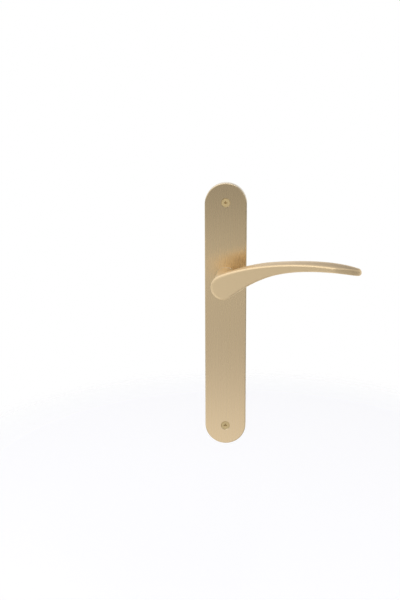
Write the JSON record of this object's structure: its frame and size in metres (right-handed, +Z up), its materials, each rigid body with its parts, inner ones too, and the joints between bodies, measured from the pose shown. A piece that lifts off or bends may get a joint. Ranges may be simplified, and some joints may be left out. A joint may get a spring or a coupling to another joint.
{
  "type": "lever handle on backplate",
  "caption": "Arched door lever with a flat round-ended hub, sprung in a long round-ended backplate with countersunk fixing screws and a square spindle.",
  "frame": {"origin": "on the spindle axis, in the plane of the door face that the backplate's rear rim lies on", "axes": "+X along the lever towards its tip, +Y into the door along the spindle, +Z up along the backplate"},
  "size_m": [0.1275, 0.116, 0.2278],
  "materials": {
    "satin_gold": "brushed and anodised pale gold",
    "plated_screw": "satin brass plated",
    "nylon": "natural nylon",
    "spring_steel": "oiled dark spring steel",
    "zinc_steel": "bright zinc plated"
  },
  "bodies": {
    "plate": {"backplate": "satin_gold", "fixing_screws": "plated_screw", "bearing_bush": "nylon", "return_spring": "spring_steel"},
    "lever": {"lever": "satin_gold", "spring_driver": "zinc_steel", "retaining_ring": "spring_steel", "grub_screw": "spring_steel", "spindle": "zinc_steel"}
  },
  "joints": [
    {"name": "lever_turn", "type": "hinge", "parent": "plate", "child": "lever", "pos_m": [0, 0, 0], "axis": [0, 1, 0], "range_deg": [0, 45], "stiffness_Nm_per_rad": 0.5, "springref_deg": -28.65, "deforming": ["return_spring"]}
  ]
}
